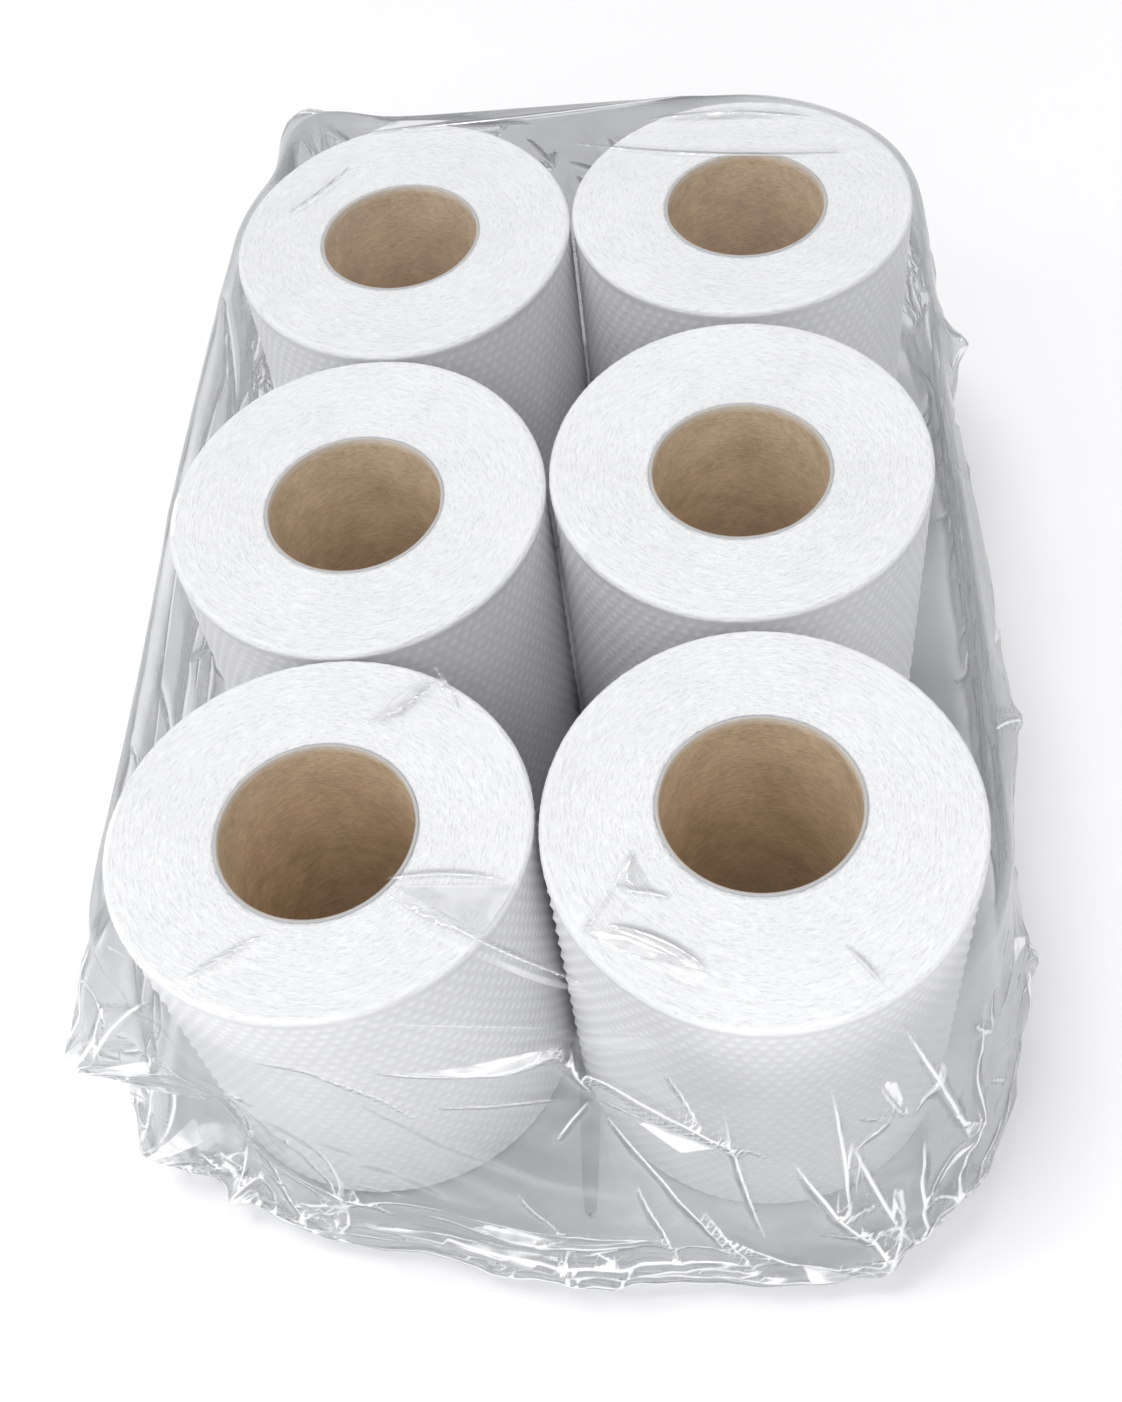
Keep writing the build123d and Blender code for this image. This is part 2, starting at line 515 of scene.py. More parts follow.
class ROLLPACK_OT_tissue(bpy.types.Operator):
    """Winds the tissue of every roll"""
    bl_idname = "rollpack.tissue"
    bl_label = "Wind the tissue"

    def execute(self, context):
        look = context.scene.rollpack_tissue
        material = tissue_material(look)
        for number, roll in enumerate(ROLLS.values()):
            points, faces, looks = winding(roll, look, np.random.default_rng(TISSUE_SEED + number))
            piece = add_mesh(f"winding_{roll.name}", points, faces, material, looks)
            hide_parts(f"tissue_{roll.name}")
        return {"FINISHED"}


# ---- cores

# How a core is rolled. Distances are in metres; the shares are of its height.
CORE_STEPS = 120
INSIDE_RINGS = 40
OUTSIDE_SHARES = (1.0, 0.97, 0.6, 0.3, 0.0)
CUT_SHARE = 0.99
CUT_DROP = 0.1 * MM
CUT_RAGGED = 0.18 * MM
SEAM_REACH = 1.6 * MM
SEAM_TILT = 0.9
FIBRE_RADIUS = 11
FIBRE_STRETCH = 1.3


def card_tube(roll, look, rng):
    """One card core as a closed ring surface: up the inside, over the cut edge and down the outside. The
    inside has a shallow groove along a helix whose height is the lead times the angle in turns."""
    angle = np.arange(CORE_STEPS) * TURN / CORE_STEPS
    wave = ripple(angle, rng, 5, CUT_RAGGED)
    start = rng.uniform()
    rings, turns, seams, rims = [], [], [], []
    levels = [("in", share) for share in np.linspace(0, 1, INSIDE_RINGS)]
    levels += [("out", share) for share in OUTSIDE_SHARES]
    for part, share in levels:
        height = roll.bottom + share * (roll.top - roll.bottom - CUT_DROP)
        phase = height / look.seam_lead - angle / TURN + start
        away = np.abs(phase - np.round(phase)) * look.seam_lead * SEAM_TILT
        groove = np.clip(1 - away / SEAM_REACH, 0, 1) * (part == "in")
        at_cut = share > CUT_SHARE
        radius = roll.core_radius
        if part == "in":
            radius = roll.core_radius - look.wall + look.seam_depth * groove[:, None]
        rings.append(np.column_stack([roll.core_middle + radius * round_line(angle), height - wave * at_cut]))
        turns.append(wrapped_noise_place(angle, FIBRE_RADIUS, height / MM * FIBRE_STRETCH))
        seams.append(groove * 0.55)
        # This value places the grey: partly the pale cut card, partly painted shade for the gap between core
        # and tissue.
        rims.append(np.full(len(angle), 1.0 if part == "out" else 0.6 * at_cut))
    looks = {"turns": np.vstack(turns), "seam": np.concatenate(seams), "rim": np.concatenate(rims)}
    return np.vstack(rings), ring_faces(rings), looks


class ROLLPACK_OT_cores(bpy.types.Operator):
    """Rolls the card core of every roll"""
    bl_idname = "rollpack.cores"
    bl_label = "Roll the cores"

    def execute(self, context):
        look = context.scene.rollpack_core
        material = card_material(look)
        for number, roll in enumerate(ROLLS.values()):
            points, faces, looks = card_tube(roll, look, np.random.default_rng(CORE_SEED + number))
            piece = add_mesh(f"card_{roll.name}", points, faces, material, looks)
            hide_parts(f"core_{roll.name}")
        return {"FINISHED"}


# ---- film

def taut_outline(steps):
    """The line of a band pulled tight round all the rolls, evenly spaced, with its outward directions. It
    comes from the support function: in each direction, the farthest reach of any roll's ellipse."""
    out = round_line(np.linspace(-math.pi / 2, 1.5 * math.pi, 7201)[:-1])
    reach, touch = [], []
    for roll in ROLLS.values():
        stretch = np.linalg.norm(roll.half * out, axis=1)
        reach.append(out @ roll.middle + stretch)
        touch.append(roll.middle + roll.half**2 * out / stretch[:, None])
    line = np.array(touch)[np.argmax(reach, axis=0), np.arange(len(out))]
    line = np.vstack([line, line[:1]])
    run = np.concatenate([[0], np.cumsum(np.linalg.norm(np.diff(line, axis=0), axis=1))])
    fine = np.linspace(0, run[-1], 20001)
    fine_x, fine_y = (np.interp(fine, run, line[:, k]) for k in (0, 1))
    middle_x = (CAD_BOX[0].x + CAD_BOX[1].x) / 2
    begin = fine[np.argmin(np.where(fine_y < line[:, 1].mean(), np.abs(fine_x - middle_x), 9))]
    place = (begin + np.arange(steps) * run[-1] / steps) % run[-1]
    spots = np.stack([np.interp(place, run, line[:, k]) for k in (0, 1)], -1)
    tangent = np.roll(spots, -1, 0) - np.roll(spots, 1, 0)
    away = np.stack([tangent[:, 1], -tangent[:, 0]], -1)
    return spots, away / np.linalg.norm(away, axis=1, keepdims=True), run[-1]


def both_ways(places, loop):
    """Places on a loop, counted both ways from zero: from minus half the loop to plus half of it."""
    return (places + loop / 2) % loop - loop / 2


# How far the film stands off the rolls, from the rims down to the floor: share of the rolls' height, then
# millimetres at the sides, at the front and at the back.
FILM_PROFILE = (
    (1.000, 0.9, 0.9, 4.0),
    (0.985, 2.2, 2.2, 6.5),
    (0.930, 3.6, 3.8, 8.0),
    (0.500, 8.5, 11.0, 10.0),
    (0.100, 13.5, 19.0, 12.0),
    (0.030, 12.5, 18.5, 11.0),
    (0.002, 9.5, 16.5, 8.5),
)


def stand_off(share, away):
    """How far the film stands off the rolls at a share of their height, blended between side, front and
    back by the square of the outward direction."""
    levels = np.array(FILM_PROFILE)[::-1]
    side, front, back = (np.interp(share, levels[:, 0], levels[:, k]) * MM for k in (1, 2, 3))
    ends = np.where(away[..., 1] < 0, front, back)
    return side * away[..., 0] ** 2 + ends * away[..., 1] ** 2


# Where the wrap's outline bulges out or pulls in: place round the rims, reach either side of it, and how far
# at the rims and at the floor, all in millimetres.
BULGES = (
    (-377, 12, 15.0, 3.0),
    (-175, 75, -2.0, 0.0),
    (165, 60, 2.0, 1.0),
    (-82, 26, 0.0, -12.0),
    (-104, 12, 3.0, 4.0),
    (-40, 20, 0.0, -4.0),
    (379, 26, -2.0, -2.0),
)


def bulge(share, around, loop):
    """How far the outline moves out at a share of the height: for each bulge a bell of the distance round
    from its place, times its size at the floor blended into its size at the rims."""
    total = np.zeros(len(around))
    for place, reach, at_rims, at_floor in BULGES:
        far = both_ways(around - place, loop)
        size = at_floor + (at_rims - at_floor) * smooth_step((share - 0.35) / 0.5)
        total += size * np.exp(-(far / reach) ** 2)
    return total * MM


def facets(across, down, length, cell, rng, sides=5):
    """A crumpled field from 0 to 1.2: at each point the lowest, over scattered seeds, of a pyramid that is
    the steepest of a few slopes about its seed. Flat facets meet in sharp creases."""
    low, high = down.min(), down.max()
    count = int(length * (high - low) / cell**2)
    seeds = np.column_stack([rng.uniform(0, length, count), rng.uniform(low, high, count)])
    start = rng.uniform(0, TURN, count)
    spread = rng.uniform(0.6, 1.4, (count, sides))
    field = np.full(across.shape, 9.0)
    reach = 2.4 * cell
    for k in range(count):
        dx = both_ways(across - seeds[k, 0], length)
        dy = down - seeds[k, 1]
        close = (np.abs(dx) < reach) & (np.abs(dy) < reach)
        px, py = dx[close], dy[close]
        slopes = [
            (px * math.cos(start[k] + TURN * s / sides) + py * math.sin(start[k] + TURN * s / sides))
            * spread[k, s] for s in range(sides)
        ]
        field[close] = np.minimum(field[close], np.max(slopes, axis=0) / cell)
    return np.clip(field, 0, 1.2)


def place_ahead(x, y, way, run):
    """The place that lies a run away from (x, y), in the direction way."""
    return x + run * math.cos(way), y + run * math.sin(way)


class Folds:
    """Creases and flaps added one by one to a relief over (across, down), in millimetres. Each point also
    keeps its signed distance from its strongest crease, how near it is to that one, from 0 to 1, and how far
    it lies inside a flap."""
    BAND = 3.6
    FLAP_LIFT = 0.8
    FLAP_SLOPE = 3

    def __init__(self, across, down, loop, where):
        self.across, self.down, self.loop, self.where = across, down, loop, where
        self.relief = np.zeros(across.shape)
        self.aside = np.full(across.shape, self.BAND)
        self.near = np.zeros(across.shape)
        self.flaps = np.full(across.shape, -self.BAND)

    def from_place(self, x, y):
        """Every point's way from a place: how far round and how far down."""
        return both_ways(self.across - x, self.loop), self.down - y

    def flap(self, *corners):
        """A flat piece of film folded over on itself, with straight edges. It keeps each point's distance
        inside the nearest edge, in millimetres, and rises with that distance up to its lift. The film
        material paints white highlight patches by that distance."""
        x0, y0 = corners[0]
        dx, dy = self.from_place(x0, y0)
        corners = [(x - x0, y - y0) for x, y in corners]
        edges = list(zip(corners, corners[1:] + corners[:1]))
        area = sum(a[0] * b[1] - a[1] * b[0] for a, b in edges)
        inside = np.full(dx.shape, np.inf)
        for (ax, ay), (bx, by) in edges:
            edge = math.copysign(math.hypot(bx - ax, by - ay), area)
            inside = np.minimum(inside, ((bx - ax) * (dy - ay) - (by - ay) * (dx - ax)) / edge)
        inside = np.where(self.where, inside, -self.BAND)
        self.flaps = np.maximum(self.flaps, inside)
        self.relief += self.FLAP_LIFT * np.clip(inside / self.FLAP_SLOPE, 0, 1)

    def crease(self, start, end, height, width, lean=0.5, bow=0.0, crisp=1.0):
        """A ridge along a bowed line from start to end. Across it the film rises straight to the line and
        falls straight again, over widths shared by lean, and it tapers to nothing at both ends. How white its
        line is grows with its height and with crisp; that white is partly whitened film and partly painted
        highlight."""
        (x0, y0), (x1, y1) = start, end
        run = math.hypot(x1 - x0, y1 - y0)
        ux, uy = (x1 - x0) / run, (y1 - y0) / run
        dx, dy = self.from_place(x0, y0)
        t = np.clip((dx * ux + dy * uy) / run, 0, 1)
        aside = dx * -uy + dy * ux - bow * 4 * t * (1 - t)
        taper = np.sqrt(4 * t * (1 - t)) * self.where
        reach = width * 2 * np.where(aside > 0, lean, 1 - lean) * (0.25 + 0.75 * taper)
        self.relief += height * taper * np.clip(1 - np.abs(aside) / reach, 0, 1)
        # How white the line is: partly whitened film, partly painted highlight.
        whiteness_and_highlight = min(0.55 + 0.25 * height, 1.0) * crisp
        near = taper * np.clip(1 - np.abs(aside) / self.BAND, 0, 1) * whiteness_and_highlight
        nearer = near > self.near
        self.aside = np.where(nearer, aside, self.aside)
        self.near = np.where(nearer, near, self.near)

    def star(self, place, height, radius, points, rng):
        """A peak: a cone whose height falls straight to nothing at its radius, with creases running from its
        tip to a little past its foot, evenly turned and then nudged at random, with random lengths."""
        far = np.hypot(*self.from_place(*place)) / radius
        self.relief += height * np.clip(1 - far, 0, 1) * self.where
        start = rng.uniform(0, TURN)
        for k in range(points):
            way = start + TURN * k / points + rng.normal(0, 0.45)
            run = radius * rng.uniform(0.4, 1.6)
            self.crease(place_ahead(*place, way, -0.25 * run), place_ahead(*place, way, run),
                        rng.uniform(0.12, 0.22) * max(height, 7), rng.uniform(2.5, 5.5),
                        rng.uniform(0.2, 0.8), rng.normal(0, 0.05) * run)


# A loop so long that nothing comes round it, for places on the top.
NO_LOOP = 9999.0

# The scattered creases: how many bundles and single ones, and the front left alone, in millimetres: half its
# width and how far down it reaches, for the bundles and for the single ones.
BUNDLES, SINGLES = 75, 90
CALM_HALF_WIDTH = 62
CALM_DEPTHS = (66, 60)


def scatter_creases(folds, corner_places, rng):
    """Small random creases all round the walls: bundles that fan out of one point, mostly low down and at the
    corners, some with a flap beside them, and single ones that run mostly downwards."""
    half = folds.loop / 2
    for _ in range(BUNDLES):
        if rng.uniform() < 0.6:
            x = rng.choice(corner_places) + rng.normal(0, 26)
        else:
            x = rng.uniform(-half, half)
        y = 100 * rng.uniform(0.05, 1) ** 0.6
        way = rng.uniform(0, TURN)
        if abs(x) < CALM_HALF_WIDTH and y < CALM_DEPTHS[0]:
            continue
        for _ in range(rng.integers(2, 5)):
            way += rng.uniform(0.35, 1.3)
            run = rng.uniform(8, 30)
            end = place_ahead(x, y, way, run)
            folds.crease((x, y), end, rng.uniform(0.4, 1.4), rng.uniform(2.0, 5.0), rng.uniform(0.2, 0.8),
                         rng.normal(0, 0.06) * run)
            if rng.uniform() < 0.40:
                folds.flap((x, y), end, place_ahead(x, y, way + rng.uniform(0.08, 0.20), 0.75 * run))
    for _ in range(SINGLES):
        x, y = rng.uniform(-half, half), rng.uniform(0, 90)
        if abs(x) < CALM_HALF_WIDTH and y < CALM_DEPTHS[1]:
            continue
        run, way = rng.uniform(12, 60), rng.normal(math.pi / 2, 0.8)
        folds.crease((x, y), place_ahead(x, y, way, run), rng.uniform(0.3, 1.3), rng.uniform(2.0, 6.0),
                     rng.uniform(0.2, 0.8), rng.normal(0, 0.07) * run)


class ROLLPACK_OT_film(bpy.types.Operator):
    """Wraps the rolls in clear film"""
    bl_idname = "rollpack.film"
    bl_label = "Wrap the film"

    def execute(self, context):
        look = context.scene.rollpack_film
        points, faces, looks = film_surface(look)
        piece = add_mesh("film", points, faces, film_material(look), looks)
        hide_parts("film_wrap")
        return {"FINISHED"}


# The film's parts, and how its mesh rings are shared out over them. The reaches say how much sheet each part
# takes, in millimetres, from the middle of the top to the lap underneath.
TOP, WALL, UNDER = 0, 1, 2
TOP_RINGS, WALL_RINGS, LAP_RINGS = 41, 72, 9
TOP_REACH, WALL_REACH, LAP_REACH = 96, 104, 90
LOWEST_SHARE = 0.002
TOP_LIFT = 0.2 * MM
TOP_SEAM_SHARE, LAP_SHARE = 0.80, 1.02
LAP_OVERLAP = 4.0 * MM
LAP_HEIGHTS = (0.06 * MM, 0.18 * MM)
FOOT_HEIGHT = 0.20 * MM


def film_rings(base, away, length, seam_line):
    """The wrap's rings, from a line along the middle of its top out over the rims, down its flared walls and
    in beneath to a lapped seam. Each has its points, how far down the sheet it lies, and its part."""
    steps = len(base)
    numbers = np.arange(steps)
    around = numbers * length / steps / MM
    top_z = ROLL_TOP + TOP_LIFT

    def outline(share):
        return base + away * (stand_off(share, away) + bulge(share, around, length / MM))[:, None]

    rings = []
    seam, rims = seam_line(TOP_SEAM_SHARE), outline(1.0)
    for share in np.linspace(0, 1, TOP_RINGS)[:-1]:
        points = np.column_stack([seam * (1 - share) + rims * share, np.full(steps, top_z)])
        rings.append((points, -(1 - share) * TOP_REACH * MM, TOP))
    for share in np.maximum(1 - np.linspace(0, 1, WALL_RINGS), LOWEST_SHARE):
        points = np.column_stack([outline(share), np.full(steps, top_z * share)])
        rings.append((points, (1 - share) * WALL_REACH * MM, WALL))
    foot = points[:, :2]
    right = numbers < steps // 2
    lap = np.where(right, -LAP_OVERLAP, LAP_OVERLAP) * np.abs(np.sin(numbers * TURN / steps))
    under = seam_line(LAP_SHARE) + np.column_stack([lap, np.zeros(steps)])
    for share in np.linspace(0, 1, LAP_RINGS)[1:]:
        z = np.where(right, *LAP_HEIGHTS) * share + FOOT_HEIGHT * (1 - share)
        points = np.column_stack([foot * (1 - share) + under * share, z])
        rings.append((points, (WALL_REACH + share * LAP_REACH) * MM, UNDER))
    return rings


def film_haze_and_shade(grid, down, part, away, round_place):
    """How grey the film is, as a share of the film's setting for it: painted shade for the shadowed floor and
    gaps inside the pack, and partly the film's own cloudiness. It grows with the distance from the rolls. It
    is most underneath, where the film lies folded, more at the back and over the front right roll, and less
    on the rolls' tops and over the front left roll; these differences are painted shade too."""
    haze_and_painted_shade = np.where(part == UNDER, 1.4, smooth_step((roll_gap(grid) - 1 * MM) / (9 * MM)))
    back = smooth_step((grid[..., 1] - CAD_BOX[1].y + 28 * MM) / (14 * MM))
    haze_and_painted_shade = haze_and_painted_shade * np.where(part == TOP, 0.35 + 0.65 * back, 1.0) * (1 + 1.8 * back)
    front = smooth_step((-away[:, 1] - 0.3) / 0.5) * (part == WALL) * smooth_step((84 - down / MM) / 16)
    return haze_and_painted_shade * (1 + front * (1.1 * smooth_step(round_place / 16) - 0.6))


def film_surface(look):
    """The wrap as one sheet over (round, down). Its rims sag by a bell of the distance from them times a
    random line round. Facets, creases and ears push it out along its normals, and its points are then moved
    off every roll and the floor."""
    rng = np.random.default_rng(look.seed)
    steps = look.round_count // 2 * 2
    numbers = np.arange(steps)
    base, away, length = taut_outline(steps)
    centre = (CAD_BOX[0] + CAD_BOX[1]) / 2
    mirrored = -numbers % steps
    seam_y = (base[:, 1] + base[mirrored, 1]) / 2

    def seam_line(share):
        return np.column_stack([np.full(steps, centre.x), centre.y + (seam_y - centre.y) * share])

    rings, downs, parts = zip(*film_rings(base, away, length, seam_line))
    grid = np.array(rings)
    across = np.broadcast_to(numbers * length / steps, grid.shape[:2])
    down = np.broadcast_to(np.array(downs)[:, None], grid.shape[:2])
    part = np.broadcast_to(np.array(parts)[:, None], grid.shape[:2])
    sag = 0.9 * MM + ripple(numbers * TURN / steps, np.random.default_rng(look.seed + 1), 16, 0.6 * MM)
    grid[..., 2] -= np.exp(-(down / (2.6 * MM)) ** 2) * sag

    looks = {"sheet": grid / MM}
    relief, looks["aside"], looks["near"], looks["flap"] = film_relief(
        look, grid, across, down, part, away, length, rng)
    grid = keep_clear(grid + surface_normals(grid) * relief[..., None], part)
    looks["haze_and_painted_shade"] = film_haze_and_shade(grid, down, part, away, both_ways(across / MM, length / MM))
    # The seam along the top is one line of points that both halves share.
    ids = np.arange(grid.size // 3).reshape(-1, steps)
    ids[0] = np.minimum(numbers, mirrored)
    grid[0, :, 2] = (grid[0, :, 2] + grid[0, mirrored, 2]) / 2
    grid[0, :, 0] = centre.x
    faces = grid_faces(ids, close_columns=True)
    used = np.unique(faces)
    faces = np.searchsorted(used, faces)
    looks = {title: values.reshape(grid.size // 3, -1)[used].squeeze() for title, values in looks.items()}
    return grid.reshape(-1, 3)[used], faces[:, ::-1], looks


def softened(field):
    """The field averaged with its neighbours by weights 1, 2, 1 both ways, so that a ridge between two points
    keeps its height."""
    field = (np.roll(field, 1, 1) + 2 * field + np.roll(field, -1, 1)) / 4
    padded = np.pad(field, ((1, 1), (0, 0)), mode="edge")
    return (padded[:-2] + 2 * field + padded[2:]) / 4


def roll_gap(grid):
    """How far each point stands outside the nearest roll's outline: its distance from the roll's middle in
    units of the outline, less one, times the mean half size."""
    gaps = [
        (np.linalg.norm((grid[..., :2] - roll.middle) / roll.half, axis=-1) - 1) * roll.half.mean()
        for roll in ROLLS.values()
    ]
    return np.maximum(np.min(gaps, axis=0), 0)


def surface_normals(grid):
    """Unit normals of a grid that closes on itself along its rows: the cross product of its two tangents,
    turned to point outwards."""
    along = np.roll(grid, -1, 1) - np.roll(grid, 1, 1)
    below = np.gradient(grid, axis=0)
    normal = np.cross(below, along)
    return normal / np.maximum(np.linalg.norm(normal, axis=-1, keepdims=True), 1e-12)


def film_relief(look, grid, across, down, part, away, length, rng):
    """How far each point of the film stands out, in metres, with its signed distance from its crease, how
    near it is to that crease, and its distance inside its flap. The walls have facets all over, deeper low
    down and at the corners, and then the single creases, flaps and ears. The top has creases and flaps."""
    low = smooth_step((down / MM - 25) / 70)
    corner = np.clip(4 * (away[:, 0] * away[:, 1]) ** 2, 0, 1)[None]
    coarse = facets(across, down, length, look.coarse_cell, rng)
    fine = facets(across, down, length, look.fine_cell, rng)
    on_wall = (part == WALL) * smooth_step(down / (8 * MM))
    amount = on_wall * (0.30 + 0.45 * low + 0.9 * corner * low)
    relief = amount * (look.coarse_height * coarse + look.fine_height * fine)
    # Round is counted from the middle of the front both ways.
    loop = length / MM
    across = both_ways(across / MM, loop)
    on_top = part == TOP
    walls = Folds(across, down / MM, loop, part == WALL)
    top = Folds(grid[..., 0] / MM, grid[..., 1] / MM, NO_LOOP, on_top)
    for folds, creases, flaps in ((walls, WALL_CREASES, WALL_FLAPS), (top, TOP_CREASES, TOP_FLAPS)):
        for crease in creases:
            folds.crease(*crease)
        for flap in flaps:
            folds.flap(*flap)
    for ear in EARS:
        walls.star(*ear, rng)
    corners = across[0][np.flatnonzero(corner[0] > 0.7)]
    scatter_creases(walls, corners, rng)
    relief += (on_wall * softened(walls.relief) + on_top * softened(top.relief)) * MM
    aside, near, flaps = (
        np.where(on_top, getattr(top, field), getattr(walls, field)) for field in ("aside", "near", "flaps"))
    # Top and walls measure their creases apart, so no crease shows in the cells between them.
    inner = (part == np.roll(part, 1, 0)) & (part == np.roll(part, -1, 0)) & (part < UNDER)
    return relief * (part < UNDER), aside, near * inner, np.where(inner, flaps, -Folds.BAND)


# Creases on the walls, in millimetres. Each has its start and end as (round, down), where round runs along
# the rims from the middle of the front, to the right above zero, and down is below the rims. Then come its
# height, width, lean and bow, and for a soft band how crisp it is.
WALL_CREASES = (
    # A long soft fold across the front left roll, and a lifted flap over it.
    ((-53, 3), (14, 60), 1.5, 7.0, 0.35, 9.0, 0.5),
    ((-40, 11), (6, 1), 1.9, 5.0, 0.25, 4.0),
    ((-62, 20), (-8, 72), 1.2, 8.0, 0.5, 12.0, 0.4),
    # The pinch between the two front rolls, and what fans out of it.
    ((4, 1), (8, 18), 1.3, 2.4, 0.5, 0.6),
    ((8, 18), (-2, 39), 1.3, 2.4, 0.5, 0.6),
    ((7, 17), (38, 40), 2.4, 7.0, 0.22, -0.6),
    ((8, 20), (38, 88), 1.8, 4.0, 0.4, 0.9),
    ((-4, 0), (46, 44), 1.8, 5.0, 0.6, -0.9),
    ((6, 19), (-30, 26), 0.7, 2.5, 0.5, 0.0),
    ((22, 6), (34, 36), 0.9, 3.0, 0.3, 0.6),
    # The corner fold of the front right roll, and the bunched corner's fan.
    ((68, 0), (82, 72), 2.8, 5.0, 0.3, -1.2),
    ((47, 40), (64, 92), 1.8, 4.0, 0.4, 0.9),
    ((57, 34), (67, 92), 1.6, 3.6, 0.6, 0.0),
    ((30, 70), (62, 94), 1.8, 4.0, 0.4, 1.2),
    ((24, 90), (64, 96), 2.2, 3.6, 0.5, -0.6),
    ((72, 48), (69, 94), 1.6, 3.6, 0.5, 0.6),
    ((88, 52), (72, 92), 1.8, 4.0, 0.4, 0.0),
    ((102, 70), (76, 94), 1.8, 4.0, 0.6, -0.9),
    # Fine ones down the face of the front right roll.
    ((34, 18), (44, 80), 1.2, 3.0, 0.4, 1.2),
    ((54, 10), (57, 78), 1.3, 3.0, 0.6, -0.9),
    ((28, 60), (44, 92), 1.2, 3.0, 0.4, 0.9),
    ((14, 50), (26, 92), 1.2, 3.0, 0.5, 0.9),
    ((90, 26), (84, 74), 1.4, 3.0, 0.5, 0.9),
    # Pleats one above the other along the bottom of the front.
    ((-72, 74), (30, 80), 2.0, 3.2, 0.35, -3.0),
    ((-64, 82), (56, 84), 3.0, 3.6, 0.65, 2.0),
    ((-48, 89), (40, 91), 3.4, 3.6, 0.35, -1.5),
    ((-70, 95), (58, 96), 3.2, 2.8, 0.6, 1.0),
    ((-44, 78), (18, 79), 1.0, 2.2, 0.5, 1.5),
    ((-30, 81), (44, 81), 1.2, 2.2, 0.4, -1.0),
    ((-10, 86), (50, 88), 1.2, 2.2, 0.5, 1.0),
    ((-58, 86), (0, 87), 1.0, 2.0, 0.5, -1.0),
    ((-20, 93), (48, 93), 1.2, 2.0, 0.5, 0.8),
    ((-66, 91), (-14, 93), 1.0, 2.0, 0.5, -0.8),
    ((-52, 98), (36, 99), 1.2, 2.0, 0.5, 0.5),
    ((30, 84), (52, 92), 1.2, 2.4, 0.5, 1.5),
    # Round the ear at the front left corner.
    ((-102, 38), (-70, 74), 2.2, 4.5, 0.4, 3.0),
    ((-102, 40), (-100, 90), 2.2, 4.5, 0.6, -3.0),
    ((-84, 2), (-100, 36), 2.4, 4.5, 0.4, 2.0),
    ((-92, 92), (-56, 90), 2.4, 4.0, 0.5, 3.0),
    # Long folds along both sides and the back.
    ((-335, 9), (-118, 15), 2.6, 6.0, 0.3, 5.0),
    ((-300, 30), (-150, 44), 2.4, 9.0, 0.6, -6.0),
    ((-250, 60), (-108, 72), 2.4, 8.0, 0.4, 6.0),
    ((118, 22), (250, 10), 2.6, 6.0, 0.6, -5.0),
    ((140, 44), (330, 38), 2.4, 9.0, 0.4, 6.0),
    ((105, 66), (260, 74), 2.4, 8.0, 0.5, -6.0),
    ((-440, 10), (-385, 5), 2.0, 4.0, 0.4, 2.0),
    ((350, 14), (440, 20), 2.2, 6.0, 0.5, 4.0),
    ((370, 50), (448, 60), 2.4, 8.0, 0.4, -5.0),
    ((-445, 56), (-380, 40), 2.4, 8.0, 0.4, 5.0),
)
# Creases on the top, in the same way, with their ends at (x, y).
TOP_CREASES = (
    # The fan from the front left core's rim.
    ((-38, -109), (-6, -111), 0.9, 3.5, 0.3, 2.0),
    ((-38, -109), (-12, -124), 0.9, 3.0, 0.6, -2.0),
    ((-36, -110), (11, -136), 1.0, 2.6, 0.5, -2.0),
    ((-24, -53), (-45, -69), 0.9, 3.6, 0.35, 2.5),
    ((-30, -50), (-20, -70), 0.7, 2.4, 0.5, 1.5),
    ((-58, -119), (-79, -132), 0.7, 2.0, 0.5, 0.0),
    # The star on the front right roll, and its neighbours.
    ((13, -113), (19, -103), 1.0, 2.8, 0.5, 0.0),
    ((13, -113), (27, -116), 1.0, 2.8, 0.4, 0.0),
    ((14, -112), (6, -125), 1.0, 2.8, 0.6, 0.0),
    ((10, -121), (34, -134), 1.1, 4.6, 0.3, 2.0),
    ((59, -127), (68, -139), 1.1, 3.0, 0.35, 0.0),
    # Along the back rims.
    ((-62, 151), (50, 158), 1.6, 4.0, 0.4, -3.0),
    ((-4, 141), (92, 124), 0.9, 3.0, 0.5, -5.0),
    ((20, 146), (80, 140), 0.9, 4.0, 0.3, 3.0),
    ((-84, 112), (-60, 140), 1.0, 4.0, 0.4, -3.0),
    ((-88, 40), (-93, 74), 0.8, 3.0, 0.5, 0.0),
)
# Flaps, where the film lies folded over on itself: the corners of each, on the walls as (round, down) and on
# the top as (x, y). The film material paints them white in patches as highlights.
WALL_FLAPS = (
    ((9, 19), (25, 41), (38, 37), (24, 31)),
    ((-36, 12), (4, 1), (-8, 11)),
    ((-13, 7), (2, 2), (-4, 6)),
    ((4, 2), (8, 18), (5, 9)),
    ((-102, 37), (-88, 28), (-90, 36)),
    ((-102, 37), (-90, 42), (-88, 52)),
    ((-101, 90), (-94, 74), (-92, 84)),
    ((48, 84), (58, 94), (50, 94)),
    ((110, 34), (116, 46), (108, 42)),
    ((-60, 93), (-52, 97), (-58, 98)),
    ((-24, 91), (10, 90), (-4, 93)),
    ((-40, 84), (-6, 83), (-18, 86)),
    ((238, 5), (262, 11), (244, 13)),
    ((170, 8), (196, 11), (178, 14)),
    ((-232, 6), (-196, 9), (-222, 11)),
    ((-318, 7), (-288, 8), (-310, 12)),
)
TOP_FLAPS = (
    ((-34, -110), (-7, -111), (-14, -123)),
    ((-26, -54), (-33, -58), (-44, -69), (-34, -65)),
    ((17, -104), (13, -112), (22, -114)),
    ((7, -123), (16, -122), (33, -133), (18, -129)),
    ((60, -127), (64, -131), (67, -139)),
    ((-60, 150), (-30, 154), (-50, 156)),
    ((30, 146), (66, 143), (50, 149)),
)
